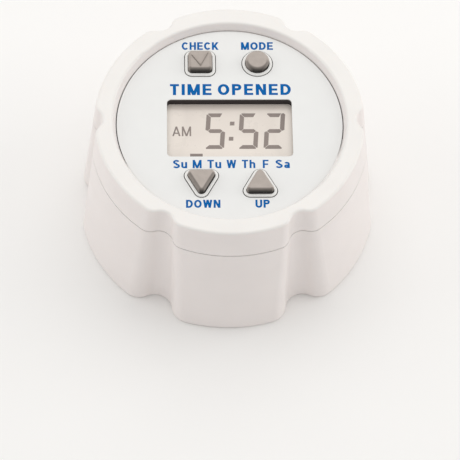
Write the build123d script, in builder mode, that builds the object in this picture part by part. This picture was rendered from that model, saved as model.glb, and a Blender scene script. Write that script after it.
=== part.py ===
from build123d import *
import os

# Smart cap for a round pill bottle, in millimetres.
# The cap stands on the rim of its skirt at z = 0. Its display faces up and reads from the -Y side.

# Outer form: six lobes on a cone, parted by upright finger grooves
cap_height = 32.5
skirt_room = 8.2
rim_draw_in = 3.8
rim_width = 3.7
rim_slope = 0.68
lobe_count = 6
groove_depth_bottom = 4.0
groove_depth_top = 1.65
groove_radius_bottom = 3.8
groove_radius_top = 2.8
shoulder_radius_bottom = 3.8
shoulder_radius_top = 2.6
least_shoulder_radius = 0.2
wall = 1.6
rim_rounding = 0.6
skirt_edge_rounding = 0.7

# Seam between the upper shell and the grip skirt
seam_drop = 7.3
seam_gap = 0.25
lip_thickness = 0.6
lip_height = 1.2
lip_clearance = 0.1

# Face of the cap, sunk in the rim
rim_inner_rounding = 0.6
face_gap = 0.22
face_recess = 1.9
overlay_thickness = 0.25
disc_thickness = 2.15
disc_flange_thickness = 1.2
disc_flange_width = 1.2

# Display, its window and the frame that holds it on the circuit board
window_side_inset = 10.5
title_band = 9.07
day_band = 6.6
window_corner = 0.9
display_drop = 2.05
overlay_overhang = 0.1
frame_wall = 0.7
frame_fit = 0.1
glass_fit = 0.1
glass_thickness = 0.65
glass_margin_x = 1.5
glass_margin_y = 2.0
reflector_thickness = 0.15
strip_width = 1.2
strip_side_gap = 0.2
strip_end_gap = 1.2

# Keys: a square, a round and two triangles
key_spacing = 12.1
upper_key_inset = 8.4
lower_key_inset = 8.8
square_key_size = 5.0
square_key_corner = 0.8
round_key_radius = 2.5
triangle_core_width = 4.0
triangle_core_height = 3.7
triangle_corner = 0.8
key_rise = 1.6
key_clearance = 0.12
key_rounding = 0.68
key_flange = 0.6
key_flange_thickness = 0.75
key_play = 0.05
key_travel = 0.6
collar_width = 0.55
collar_rise = 0.28
collar_chamfer = 0.12
collar_gap = 0.2
glue_groove_depth = 0.3
dome_base_radius = 2.5
dome_top_radius = 1.5
dome_wall = 0.5
dome_rim_height = 0.5

# Circuit board, its screws and what is soldered to it
board_gap = 3.0
board_thickness = 1.0
board_inset = 2.1
post_inset = 2.1
post_angles = (50.0, 130.0, 230.0, 310.0)
post_radius = 1.6
board_screw_radius = 0.8
board_screw_grip = 2.2
board_screw_head_radius = 1.4
board_screw_head_height = 0.8
chip_radius = 3.4
chip_height = 1.2
chip_x = -5.5
crystal_radius = 0.75
crystal_length = 5.0
crystal_x = 8.5
part_length = 1.6
part_width = 0.8
part_height = 0.6
part_spacing = 2.3
parts_in_row = 4
parts_x = 2.7
parts_inset = 1.7
sounder_size = 8.0
sounder_height = 2.2
sounder_corner = 1.0
sounder_port_radius = 0.9
sounder_port_depth = 0.6
sounder_gap = 0.6

# Threaded closure for a bottle neck of 45 mm finish
thread_root_radius = 22.3
thread_depth = 1.05
thread_pitch = 4.23
thread_turns = 1.25
thread_root_width = 2.0
thread_crest_width = 0.9
thread_bite = 0.2
thread_start_gap = 0.2
closure_wall = 1.5
ceiling_thickness = 2.6
closure_depth = 10.5
lead_in_step = 0.3
lead_in_length = 2.5
seal_edge_gap = 1.2
seal_width = 3.1
seal_thickness = 1.0

# Web across the skirt, which carries the closure and the battery pocket, and the ribs under it
web_thickness = 1.6
rib_thickness = 1.2
rib_height = 11.0
rib_half_spread = 14.0
rib_clearance = 0.2
rib_bite = 0.4

# Screws of the closure and the case
closure_screw_gap = 0.7
closure_screw_count = 4
closure_screw_radius = 1.1
closure_screw_head_radius = 1.9
closure_screw_head_height = 1.2
closure_screw_length = 3.9
closure_boss_wall = 0.8
closure_boss_gap = 0.2
case_screw_gap = 0.15
case_screw_count = 3
case_screw_radius = 1.0
case_screw_head_radius = 1.45
case_screw_head_height = 1.1
case_screw_length = 7.0
case_boss_radius = 1.9
case_boss_gap = 0.15
head_clearance = 0.1
screw_hole_clearance = 0.15
screw_end_room = 0.4
recess_width = 0.45
recess_length_share = 0.7
recess_depth_share = 0.55

# Coin cell, its pocket and its contacts
cell_radius = 10.0
cell_height = 3.2
cell_step_height = 0.3
cell_step_width = 1.2
cell_rounding = 0.25
pocket_clearance = 0.4
pocket_wall = 1.2
pocket_rim_height = 1.3
contact_room = 1.0
contact_thickness = 0.2
contact_width = 3.0
contact_gap = 0.05
minus_pad_start = 2.0
minus_pad_end = 6.0
minus_arm_end = -4.0
plus_pad_length = 2.4
plus_arm_overlap = 2.0

# Battery door, a quarter-turn plug with three lugs and a coin slot
door_body_margin = 0.35
door_spigot_step = 1.35
door_flange_step = 0.9
door_flange_thickness = 0.65
door_clearance = 0.15
door_top_gap = 0.05
door_rounding = 0.2
ledge_thickness = 0.6
ledge_clearance = 0.2
lug_reach = 1.1
lug_thickness = 0.5
lug_count = 3
lug_arc = 24.0
lug_slot_arc = 34.0
lug_middle = 90.0
door_turn = 50.0
ring_wire_radius = 0.35
ring_clearance = 0.03
slot_length = 13.0
slot_width = 1.8
slot_depth = 1.1

# Plunger that feels the bottle's lip, its spring and its switch
plunger_inset = 1.5
plunger_radius = 0.9
plunger_clearance = 0.06
plunger_reach = 1.0
plunger_travel = 0.8
plunger_tip_rounding = 0.35
plunger_collar_radius = 1.65
plunger_collar_height = 0.6
plunger_stop_gap = 0.03
plunger_stem_radius = 0.6
seal_hole_clearance = 0.2
sleeve_wall = 0.9
sleeve_clearance = 0.2
sleeve_height = 1.6
bush_height = 0.6
spring_wire_radius = 0.1
spring_coil_radius = 1.15
spring_turns = 4.0
spring_end_gap = 0.02
switch_radius = 1.7
switch_height = 0.45
switch_foot_thickness = 0.12
switch_dome_radius = 1.4
switch_gap = 0.03

# One overrun serves every cut that leaves a piece
overrun = 1.0

# Heights that follow from the sizes above
seam_height = cap_height - seam_drop
skirt_top = seam_height - seam_gap
face_height = cap_height - face_recess
disc_top = face_height - overlay_thickness
disc_bottom = disc_top - disc_thickness
glue_groove_bottom = disc_top - glue_groove_depth
shelf_height = disc_bottom + disc_flange_thickness
display_top = face_height - display_drop
glass_split = display_top - glass_thickness
glass_bottom = glass_split - glass_thickness
frame_shoulder = display_top + frame_wall
board_top = disc_bottom - board_gap
board_bottom = board_top - board_thickness
closure_top = board_bottom - contact_room - cell_height
ceiling_bottom = closure_top - ceiling_thickness
closure_mouth = ceiling_bottom - closure_depth
seal_bottom = ceiling_bottom - seal_thickness
web_top = closure_top + web_thickness
closure_boss_top = board_bottom - board_screw_head_height - closure_boss_gap
key_top = face_height + key_rise
key_flange_top = disc_bottom - key_play
key_foot = key_flange_top - key_flange_thickness
cell_top = closure_top + cell_height
spigot_bottom = ceiling_bottom + door_flange_thickness
ledge_bottom = spigot_bottom + 2 * (ring_wire_radius + ring_clearance)
ledge_top = ledge_bottom + ledge_thickness
door_top = closure_top - door_top_gap
sleeve_top = web_top + sleeve_height
spring_seat = sleeve_top - bush_height
plunger_stop = closure_top + plunger_stop_gap
plunger_collar_top = plunger_stop + plunger_collar_height
switch_bottom = board_bottom - switch_height

# Widths that follow from the sizes above
closure_radius = thread_root_radius + closure_wall
skirt_radius = closure_radius + skirt_room
rim_radius = skirt_radius - rim_draw_in
rim_opening_radius = rim_radius - rim_width
face_opening_radius = rim_opening_radius - rim_slope
face_radius = face_opening_radius - face_gap
disc_flange_radius = face_radius + disc_flange_width
board_radius = face_radius - board_inset
post_circle_radius = board_radius - post_inset
upper_key_y = face_radius - upper_key_inset
lower_key_y = lower_key_inset - face_radius
window_width = 2 * (face_radius - window_side_inset)
window_depth = upper_key_y - title_band - lower_key_y - day_band
window_centre_y = lower_key_y + day_band + window_depth / 2
glass_width = window_width + 2 * glass_margin_x
glass_depth = window_depth + 2 * glass_margin_y
frame_cavity_width = glass_width + 2 * glass_fit
frame_cavity_depth = glass_depth + 2 * glass_fit
frame_width = frame_cavity_width + 2 * frame_wall
frame_depth = frame_cavity_depth + 2 * frame_wall
frame_opening_width = window_width + 2 * overlay_overhang
frame_opening_depth = window_depth + 2 * overlay_overhang
frame_neck_width = frame_opening_width + 2 * frame_wall
frame_neck_depth = frame_opening_depth + 2 * frame_wall
strip_offset = glass_depth / 2 - strip_side_gap - strip_width / 2
rear_glass_depth = glass_depth - 2 * strip_width - 4 * strip_side_gap
thread_crest_radius = thread_root_radius - thread_depth
lead_in_radius = thread_root_radius + lead_in_step
seal_outer_radius = thread_root_radius - seal_edge_gap
plunger_x = plunger_inset - seal_outer_radius
pocket_radius = cell_radius + pocket_clearance
sounder_x = pocket_radius + pocket_wall + sounder_gap + sounder_size / 2
cell_step_radius = cell_radius - cell_step_width
door_body_radius = pocket_radius + door_body_margin
lug_radius = door_body_radius + lug_reach
door_spigot_radius = door_body_radius + door_spigot_step
door_flange_radius = door_spigot_radius + door_flange_step
closure_screw_circle = door_flange_radius + closure_screw_gap + closure_screw_head_radius
case_screw_circle = closure_radius + case_screw_gap + case_screw_head_radius
sleeve_radius = plunger_collar_radius + sleeve_clearance
window_place = (0, window_centre_y)


def lobed_outline(height, inset, lobe_radius, groove_depth, groove_radius, shoulder_radius):
    """A circle with a groove between each two lobes, and rounded shoulders beside each groove."""
    with BuildSketch(Plane.XY.offset(height)) as outline:
        Circle(lobe_radius - inset)
        with PolarLocations(lobe_radius - groove_depth + groove_radius, lobe_count):
            Circle(groove_radius + inset, mode=Mode.SUBTRACT)
        fillet(outline.vertices(), max(shoulder_radius - inset, least_shoulder_radius))
    return outline.sketch


def lobed_form(inset):
    """The cap's full-height outer form, moved inwards by inset."""
    foot_outline = lobed_outline(
        0, inset, skirt_radius, groove_depth_bottom, groove_radius_bottom, shoulder_radius_bottom
    )
    rim_outline = lobed_outline(
        cap_height, inset, rim_radius, groove_depth_top, groove_radius_top, shoulder_radius_top
    )
    with BuildPart() as form:
        loft([foot_outline, rim_outline], ruled=True)
    return form.part


def slab(form, bottom, top):
    """The part of a form that lies between two heights."""
    with BuildPart() as piece:
        add(form)
        with BuildSketch(Plane.XY.offset(bottom)):
            Circle(skirt_radius + overrun)
        extrude(amount=top - bottom, mode=Mode.INTERSECT)
    return piece.part


def window_sketch(height, width, depth, corner):
    """A rounded rectangle round the display's middle."""
    with BuildSketch(Plane.XY.offset(height)) as sketch:
        with Locations(window_place):
            RectangleRounded(width, depth, corner)
    return sketch.sketch


def sector_sketch(height, inner, outer, arc, middle):
    """A piece of a ring, as wide as its arc in degrees."""
    with BuildSketch(Plane.XY.offset(height)) as sketch:
        with BuildLine():
            outer_arc = CenterArc((0, 0), outer, middle - arc / 2, arc)
            inner_arc = CenterArc((0, 0), inner, middle - arc / 2, arc)
            Line(outer_arc @ 0, inner_arc @ 0)
            Line(outer_arc @ 1, inner_arc @ 1)
        make_face()
    return sketch.sketch


def upright(x, y, z):
    """A plane that faces the user, with its origin at a point."""
    return Plane(origin=(x, y, z), x_dir=(1, 0, 0), z_dir=(0, -1, 0))


def square_outline(grow):
    """The square key seen from above, grown on every side."""
    side = square_key_size + 2 * grow
    RectangleRounded(side, side, square_key_corner + grow)


def round_outline(grow):
    """The round key seen from above, grown on every side."""
    Circle(round_key_radius + grow)


def up_outline(grow):
    """The triangle key that points away from the user, grown on every side."""
    half_width = triangle_core_width / 2
    half_height = triangle_core_height / 2
    Polygon((-half_width, -half_height), (half_width, -half_height), (0, half_height), align=None)
    offset(amount=triangle_corner + grow, kind=Kind.ARC)


def down_outline(grow):
    """The triangle key that points at the user, grown on every side."""
    half_width = triangle_core_width / 2
    half_height = triangle_core_height / 2
    Polygon((-half_width, half_height), (0, -half_height), (half_width, half_height), align=None)
    offset(amount=triangle_corner + grow, kind=Kind.ARC)


def key_sketch(height, place, outline, grow):
    """A key's outline at its place on the face, grown on every side."""
    with BuildSketch(Plane.XY.offset(height)) as sketch:
        with Locations(place):
            outline(grow)
    return sketch.sketch


def screw_group(places, seat, head_radius, head_height, shank_radius, length):
    """Pan-head screws driven upwards, with their heads below the height of the seat."""
    with BuildPart() as screws:
        with BuildSketch(Plane.XY.offset(seat)):
            with Locations(places):
                Circle(shank_radius)
        extrude(amount=length)
        with BuildSketch(Plane.XY.offset(seat - head_height)):
            with Locations(places):
                Circle(head_radius)
        extrude(amount=head_height)
        fillet(screws.edges().group_by(Axis.Z)[0], head_height / 2)
        with BuildSketch(Plane.XY.offset(seat - head_height)):
            with Locations(places):
                Rectangle(2 * head_radius * recess_length_share, recess_width)
                Rectangle(recess_width, 2 * head_radius * recess_length_share)
        extrude(amount=head_height * recess_depth_share, mode=Mode.SUBTRACT)
    return screws.part


def ring_places(radius, angles):
    """Places on a circle round the cap's axis, at angles in degrees."""
    return [Vector(radius, 0).rotate(Axis.Z, angle) for angle in angles]


def save(piece, name):
    """Labels a finished piece and writes its STEP file."""
    piece.label = name
    export_step(piece, f"parts/{name}.step")


os.makedirs("parts", exist_ok=True)

# Each key: its name, where it stands and its outline
keys = (
    ("check", (-key_spacing / 2, upper_key_y), square_outline),
    ("mode", (key_spacing / 2, upper_key_y), round_outline),
    ("down", (-key_spacing / 2, lower_key_y), down_outline),
    ("up", (key_spacing / 2, lower_key_y), up_outline),
)

# Screws stand on circles round the cap's axis: those of the case under three of the lobes
lobe_step = 360 / lobe_count
groove_angles = [lobe_step * index for index in range(lobe_count)]
post_places = ring_places(post_circle_radius, post_angles)
case_screw_step = 360 / case_screw_count
case_screw_places = ring_places(
    case_screw_circle, [90 + case_screw_step * index for index in range(case_screw_count)]
)
closure_screw_step = 360 / closure_screw_count
closure_screw_places = ring_places(
    closure_screw_circle, [closure_screw_step * (index + 0.5) for index in range(closure_screw_count)]
)
lug_angles = [lug_middle + 360 / lug_count * index for index in range(lug_count)]

outer_form = lobed_form(0)
inner_form = lobed_form(wall)
lip_form = lobed_form(wall + lip_clearance)
pocket_form = lobed_form(wall + lip_clearance + lip_thickness)

# Upper shell: the white rim with the face's opening, and three screw bosses that reach the web
with BuildPart() as upper_shell:
    add(slab(outer_form, seam_height, cap_height))
    fillet(upper_shell.faces().sort_by(Axis.Z)[-1].edges(), rim_rounding)
    add(slab(inner_form, seam_height, shelf_height), mode=Mode.SUBTRACT)
    with BuildSketch(upright(0, 0, 0)) as opening_profile:
        with BuildLine():
            Polyline(
                (0, shelf_height - overrun),
                (face_opening_radius, shelf_height - overrun),
                (face_opening_radius, face_height),
                (rim_opening_radius, cap_height),
                (rim_opening_radius, cap_height + overrun),
                (0, cap_height + overrun),
                close=True,
            )
        make_face()
    revolve(axis=Axis.Z, mode=Mode.SUBTRACT)
    rim_edges = upper_shell.faces().sort_by(Axis.Z)[-1].edges()
    fillet(rim_edges.sort_by(SortBy.LENGTH)[-1], rim_inner_rounding)
    with BuildSketch(Plane.XY.offset(web_top)):
        with Locations(case_screw_places):
            Circle(case_boss_radius)
    extrude(amount=shelf_height - web_top)
    with BuildSketch(Plane.XY.offset(web_top)):
        with Locations(case_screw_places):
            Circle(case_screw_radius)
    pilot_depth = case_screw_length - web_thickness + screw_end_room
    extrude(amount=pilot_depth, mode=Mode.SUBTRACT)
save(upper_shell.part, "upper_shell")

# Grip skirt: the lower body with its web, battery pocket, screw bosses, plunger sleeve and ribs
rib_angles = [angle + side * rib_half_spread for angle in groove_angles for side in (-1, 1)]
with BuildPart() as rib_fan:
    with BuildSketch(Plane.XY.offset(closure_top - rib_height)):
        with Locations([Location((0, 0, 0), (0, 0, angle)) for angle in rib_angles]):
            with Locations((closure_radius + rib_clearance, 0)):
                Rectangle(
                    skirt_radius - closure_radius, rib_thickness, align=(Align.MIN, Align.CENTER)
                )
    extrude(amount=rib_height)
    add(lobed_form(wall - rib_bite), mode=Mode.INTERSECT)

with BuildPart() as grip_skirt:
    add(slab(outer_form, 0, skirt_top))
    fillet(grip_skirt.faces().sort_by(Axis.Z)[0].edges(), skirt_edge_rounding)
    add(slab(lip_form, skirt_top - lip_height, skirt_top + lip_height))
    add(slab(inner_form, 0, closure_top), mode=Mode.SUBTRACT)
    add(slab(pocket_form, web_top, skirt_top + lip_height), mode=Mode.SUBTRACT)
    add(rib_fan.part)
    # Raised work on the web
    with BuildSketch(Plane.XY.offset(web_top)):
        Circle(pocket_radius + pocket_wall)
    extrude(amount=pocket_rim_height)
    with BuildSketch(Plane.XY.offset(web_top)):
        with Locations(closure_screw_places):
            Circle(closure_screw_radius + closure_boss_wall)
    extrude(amount=closure_boss_top - web_top)
    with BuildSketch(Plane.XY.offset(web_top)):
        with Locations((plunger_x, 0)):
            Circle(sleeve_radius + sleeve_wall)
    extrude(amount=sleeve_height)
    # Openings through the web
    with BuildSketch(Plane.XY.offset(closure_top)):
        Circle(pocket_radius)
    extrude(amount=web_thickness + pocket_rim_height, mode=Mode.SUBTRACT)
    with BuildSketch(Plane.XY.offset(closure_top)):
        with Locations((plunger_x, 0)):
            Circle(sleeve_radius)
    extrude(amount=spring_seat - closure_top, mode=Mode.SUBTRACT)
    with BuildSketch(Plane.XY.offset(spring_seat)):
        with Locations((plunger_x, 0)):
            Circle(plunger_stem_radius + plunger_clearance)
    extrude(amount=bush_height, mode=Mode.SUBTRACT)
    with BuildSketch(Plane.XY.offset(closure_top)):
        with Locations(closure_screw_places):
            Circle(closure_screw_radius)
    closure_seat = ceiling_bottom + closure_screw_head_height + head_clearance
    closure_pilot_top = closure_seat + closure_screw_length + screw_end_room
    extrude(amount=closure_pilot_top - closure_top, mode=Mode.SUBTRACT)
    with BuildSketch(Plane.XY.offset(closure_top)):
        with Locations(case_screw_places):
            Circle(case_screw_radius + screw_hole_clearance)
    extrude(amount=web_thickness, mode=Mode.SUBTRACT)
    # Room for the upper shell's bosses in the lip
    with BuildSketch(Plane.XY.offset(web_top)):
        with Locations(case_screw_places):
            Circle(case_boss_radius + case_boss_gap)
    extrude(amount=skirt_top + lip_height + overrun - web_top, mode=Mode.SUBTRACT)
save(grip_skirt.part, "grip_skirt")

# Closure insert: the threaded ring that takes the bottle's neck, with the battery door's seat
thread_base = closure_mouth + lead_in_length + thread_root_width / 2 + thread_start_gap
with BuildPart() as thread:
    with BuildLine(Plane.XY.offset(thread_base)) as thread_path:
        Helix(thread_pitch, thread_pitch * thread_turns, thread_root_radius)
    with BuildSketch(Plane(origin=thread_path.line @ 0, x_dir=(1, 0, 0), z_dir=thread_path.line % 0)):
        with BuildLine():
            Polyline(
                (thread_bite, -thread_root_width / 2),
                (thread_crest_radius - thread_root_radius, -thread_crest_width / 2),
                (thread_crest_radius - thread_root_radius, thread_crest_width / 2),
                (thread_bite, thread_root_width / 2),
                close=True,
            )
        make_face()
    sweep(path=thread_path.line, is_frenet=True)

with BuildPart() as closure_insert:
    with BuildSketch(Plane.XY.offset(closure_mouth)):
        Circle(closure_radius)
    extrude(amount=closure_top - closure_mouth)
    chamfer(closure_insert.edges().group_by(Axis.Z)[0], closure_wall / 4)
    with BuildSketch(Plane.XY.offset(closure_mouth)):
        Circle(thread_root_radius)
    extrude(amount=closure_depth, mode=Mode.SUBTRACT)
    with BuildSketch(Plane.XY.offset(closure_mouth)):
        Circle(lead_in_radius)
    extrude(amount=lead_in_length, mode=Mode.SUBTRACT)
    add(thread.part)
    # Seat of the battery door: counterbore, ledge with three lug slots, and the space above it
    with BuildSketch(Plane.XY.offset(ceiling_bottom)):
        Circle(door_flange_radius + door_clearance)
    extrude(amount=ledge_bottom - ceiling_bottom, mode=Mode.SUBTRACT)
    with BuildSketch(Plane.XY.offset(ledge_bottom)):
        Circle(door_body_radius + ledge_clearance)
    extrude(amount=ledge_thickness, mode=Mode.SUBTRACT)
    for angle in lug_angles:
        lug_slot = sector_sketch(
            ledge_bottom, pocket_radius, lug_radius + door_clearance, lug_slot_arc, angle + door_turn
        )
        extrude(lug_slot, amount=ledge_thickness, mode=Mode.SUBTRACT)
    with BuildSketch(Plane.XY.offset(ledge_top)):
        Circle(lug_radius + door_clearance)
    extrude(amount=closure_top - ledge_top, mode=Mode.SUBTRACT)
    # Holes for the screws and the plunger
    with BuildSketch(Plane.XY.offset(ceiling_bottom)):
        with Locations(closure_screw_places):
            Circle(closure_screw_head_radius + head_clearance)
    extrude(amount=closure_seat - ceiling_bottom, mode=Mode.SUBTRACT)
    with BuildSketch(Plane.XY.offset(closure_seat)):
        with Locations(closure_screw_places):
            Circle(closure_screw_radius + screw_hole_clearance)
    extrude(amount=closure_top - closure_seat, mode=Mode.SUBTRACT)
    with BuildSketch(Plane.XY.offset(ceiling_bottom)):
        with Locations((plunger_x, 0)):
            Circle(plunger_radius + plunger_clearance)
    extrude(amount=ceiling_thickness, mode=Mode.SUBTRACT)
save(closure_insert.part, "closure_insert")

# Seal ring: the foam washer that the bottle's lip presses
with BuildPart() as seal_ring:
    with BuildSketch(Plane.XY.offset(seal_bottom)):
        Circle(seal_outer_radius)
        Circle(seal_outer_radius - seal_width, mode=Mode.SUBTRACT)
        with Locations((plunger_x, 0)):
            Circle(plunger_radius + seal_hole_clearance, mode=Mode.SUBTRACT)
    extrude(amount=seal_thickness)
save(seal_ring.part, "seal_ring")

# Face disc: carries the keys' collars, the display's window and the board's posts
with BuildPart() as face_disc:
    with BuildSketch(Plane.XY.offset(disc_bottom)):
        Circle(disc_flange_radius)
        with Locations(case_screw_places):
            Circle(case_boss_radius + case_boss_gap, mode=Mode.SUBTRACT)
    extrude(amount=disc_flange_thickness)
    with BuildSketch(Plane.XY.offset(shelf_height)):
        Circle(face_radius)
    extrude(amount=disc_top - shelf_height)
    # Each collar stands in a shallow groove, which keeps the film's glue off it
    for name, place, outline in keys:
        glue_groove = key_sketch(glue_groove_bottom, place, outline, key_clearance + collar_width + collar_gap)
        extrude(glue_groove, amount=glue_groove_depth, mode=Mode.SUBTRACT)
        collar = key_sketch(glue_groove_bottom, place, outline, key_clearance + collar_width)
        extrude(collar, amount=glue_groove_depth + overlay_thickness + collar_rise)
    chamfer(face_disc.faces().filter_by(Plane.XY).group_by(Axis.Z)[-1].edges(), collar_chamfer)
    for name, place, outline in keys:
        key_hole = key_sketch(disc_bottom, place, outline, key_clearance)
        extrude(key_hole, amount=key_top - disc_bottom, mode=Mode.SUBTRACT)
    frame_room = window_sketch(
        disc_bottom, frame_width + 2 * frame_fit, frame_depth + 2 * frame_fit, window_corner
    )
    extrude(frame_room, amount=frame_shoulder + frame_fit - disc_bottom, mode=Mode.SUBTRACT)
    neck_room = window_sketch(
        frame_shoulder, frame_neck_width + 2 * frame_fit, frame_neck_depth + 2 * frame_fit, window_corner
    )
    extrude(neck_room, amount=disc_top - frame_shoulder, mode=Mode.SUBTRACT)
    with BuildSketch(Plane.XY.offset(board_top)):
        with Locations(post_places):
            Circle(post_radius)
    extrude(amount=board_gap)
    with BuildSketch(Plane.XY.offset(board_top)):
        with Locations(post_places):
            Circle(board_screw_radius)
    extrude(amount=board_screw_grip + screw_end_room, mode=Mode.SUBTRACT)
save(face_disc.part, "face_disc")

# Face overlay: the printed film, with cut-outs for the window and the collars
with BuildPart() as face_overlay:
    with BuildSketch(Plane.XY.offset(disc_top)):
        Circle(face_radius)
    extrude(amount=overlay_thickness)
    window_cut = window_sketch(disc_top, window_width, window_depth, window_corner)
    extrude(window_cut, amount=overlay_thickness, mode=Mode.SUBTRACT)
    for name, place, outline in keys:
        collar_cut = key_sketch(disc_top, place, outline, key_clearance + collar_width + collar_gap)
        extrude(collar_cut, amount=overlay_thickness, mode=Mode.SUBTRACT)
save(face_overlay.part, "face_overlay")

# Display frame: the black bezel that lines the window and stands on the board
with BuildPart() as display_frame:
    frame_body = window_sketch(board_top, frame_width, frame_depth, window_corner)
    extrude(frame_body, amount=frame_shoulder - board_top)
    frame_neck = window_sketch(frame_shoulder, frame_neck_width, frame_neck_depth, window_corner)
    extrude(frame_neck, amount=disc_top - frame_shoulder)
    frame_opening = window_sketch(
        display_top, frame_opening_width, frame_opening_depth, window_corner
    )
    extrude(frame_opening, amount=disc_top - display_top, mode=Mode.SUBTRACT)
    with BuildSketch(Plane.XY.offset(board_top)):
        with Locations(window_place):
            Rectangle(frame_cavity_width, frame_cavity_depth)
    extrude(amount=display_top - board_top, mode=Mode.SUBTRACT)
save(display_frame.part, "display_frame")

# Display: front glass, rear glass and reflector, with a contact strip under each long edge
with BuildPart() as display_front_glass:
    with BuildSketch(Plane.XY.offset(glass_split)):
        with Locations(window_place):
            Rectangle(glass_width, glass_depth)
    extrude(amount=glass_thickness)
save(display_front_glass.part, "display_front_glass")

with BuildPart() as display_rear_glass:
    with BuildSketch(Plane.XY.offset(glass_bottom)):
        with Locations(window_place):
            Rectangle(glass_width, rear_glass_depth)
    extrude(amount=glass_thickness)
save(display_rear_glass.part, "display_rear_glass")

with BuildPart() as display_reflector:
    with BuildSketch(Plane.XY.offset(glass_bottom - reflector_thickness)):
        with Locations(window_place):
            Rectangle(glass_width, rear_glass_depth)
    extrude(amount=reflector_thickness)
save(display_reflector.part, "display_reflector")

with BuildPart() as contact_strips:
    with BuildSketch(Plane.XY.offset(board_top)):
        with Locations(window_place):
            with Locations((0, -strip_offset), (0, strip_offset)):
                Rectangle(glass_width - 2 * strip_end_gap, strip_width)
    extrude(amount=glass_split - board_top)
save(contact_strips.part, "contact_strips")

# Keys with their flanges, and the rubber dome under each
for name, place, outline in keys:
    with BuildPart() as key:
        extrude(key_sketch(key_foot, place, outline, 0), amount=key_top - key_foot)
        fillet(key.faces().sort_by(Axis.Z)[-1].edges(), key_rounding)
        extrude(key_sketch(key_foot, place, outline, key_flange), amount=key_flange_thickness)
    save(key.part, f"{name}_key")
    with BuildPart() as dome:
        dome_height = key_foot - board_top
        with BuildSketch(upright(*place, board_top)):
            with BuildLine():
                Polyline(
                    (dome_base_radius - dome_wall, 0),
                    (dome_base_radius, 0),
                    (dome_base_radius, dome_rim_height),
                    (dome_top_radius, dome_height),
                    (0, dome_height),
                    (0, dome_height - dome_wall),
                    (dome_top_radius - dome_wall, dome_height - dome_wall),
                    (dome_base_radius - dome_wall, dome_rim_height),
                    close=True,
                )
            make_face()
        revolve(axis=Axis((*place, 0), (0, 0, 1)))
    save(dome.part, f"{name}_dome")

# Circuit board and what is soldered to it
with BuildPart() as circuit_board:
    with BuildSketch(Plane.XY.offset(board_bottom)):
        Circle(board_radius)
        with Locations(post_places):
            Circle(board_screw_radius + screw_hole_clearance, mode=Mode.SUBTRACT)
    extrude(amount=board_thickness)
save(circuit_board.part, "circuit_board")

with BuildPart() as clock_chip:
    with BuildSketch(upright(chip_x, window_centre_y, board_top)):
        with BuildLine():
            chip_curve = TangentArc((0, chip_height), (chip_radius, 0), tangent=(1, 0))
            Line(chip_curve @ 1, (0, 0))
            Line((0, 0), chip_curve @ 0)
        make_face()
    revolve(axis=Axis((chip_x, window_centre_y, 0), (0, 0, 1)))
save(clock_chip.part, "clock_chip")

with BuildPart() as clock_crystal:
    crystal_end_y = window_centre_y + crystal_length / 2
    with BuildSketch(upright(crystal_x, crystal_end_y, board_top + crystal_radius)):
        Circle(crystal_radius)
    extrude(amount=crystal_length)
    chamfer(clock_crystal.edges().filter_by(GeomType.CIRCLE), crystal_radius / 4)
save(clock_crystal.part, "clock_crystal")

with BuildPart() as board_parts:
    parts_y = window_centre_y + rear_glass_depth / 2 - parts_inset
    with BuildSketch(Plane.XY.offset(board_top)):
        with Locations((parts_x, parts_y)):
            with GridLocations(part_spacing, part_spacing, parts_in_row, 1):
                Rectangle(part_length, part_width)
    extrude(amount=part_height)
save(board_parts.part, "board_parts")

with BuildPart() as sounder:
    with BuildSketch(Plane.XY.offset(board_bottom)):
        with Locations((sounder_x, 0)):
            RectangleRounded(sounder_size, sounder_size, sounder_corner)
    extrude(amount=-sounder_height)
    with BuildSketch(Plane.XY.offset(board_bottom - sounder_height)):
        with Locations((sounder_x, 0)):
            Circle(sounder_port_radius)
    extrude(amount=sounder_port_depth, mode=Mode.SUBTRACT)
save(sounder.part, "sounder")

with BuildPart() as open_switch:
    with BuildSketch(upright(plunger_x, 0, board_bottom)):
        with BuildLine():
            switch_curve = TangentArc(
                (0, -switch_height), (switch_dome_radius, -switch_foot_thickness), tangent=(1, 0)
            )
            Polyline(
                switch_curve @ 1,
                (switch_radius, -switch_foot_thickness),
                (switch_radius, 0),
                (0, 0),
                switch_curve @ 0,
            )
        make_face()
    revolve(axis=Axis((plunger_x, 0, 0), (0, 0, 1)))
save(open_switch.part, "open_switch")

# Coin cell, with the can's step round its upper pole, and the two contacts on the board
with BuildPart() as coin_cell:
    with BuildSketch(Plane.XY.offset(closure_top)):
        Circle(cell_radius)
    extrude(amount=cell_height - cell_step_height)
    fillet(coin_cell.edges(), cell_rounding)
    with BuildSketch(Plane.XY.offset(cell_top - cell_step_height)):
        Circle(cell_step_radius)
    extrude(amount=cell_step_height)
save(coin_cell.part, "coin_cell")

with BuildPart() as negative_contact:
    pad_height = -contact_thickness / 2
    tip_height = cell_top + contact_gap + contact_thickness / 2 - board_bottom
    with BuildSketch(upright(0, contact_width / 2, board_bottom)):
        with BuildLine():
            Polyline((minus_pad_end, pad_height), (minus_pad_start, pad_height), (minus_arm_end, tip_height))
        trace(line_width=contact_thickness)
    extrude(amount=contact_width)
save(negative_contact.part, "negative_contact")

with BuildPart() as positive_contact:
    arm_y = -cell_radius - contact_gap
    arm_bottom = cell_top - cell_step_height - plus_arm_overlap
    with BuildSketch(Plane.XY.offset(board_bottom)):
        with Locations((0, arm_y)):
            Rectangle(contact_width, plus_pad_length, align=(Align.CENTER, Align.MAX))
    extrude(amount=-contact_thickness)
    with BuildSketch(Plane.XY.offset(board_bottom)):
        with Locations((0, arm_y)):
            Rectangle(contact_width, contact_thickness, align=(Align.CENTER, Align.MAX))
    extrude(amount=arm_bottom - board_bottom)
save(positive_contact.part, "positive_contact")

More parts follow.
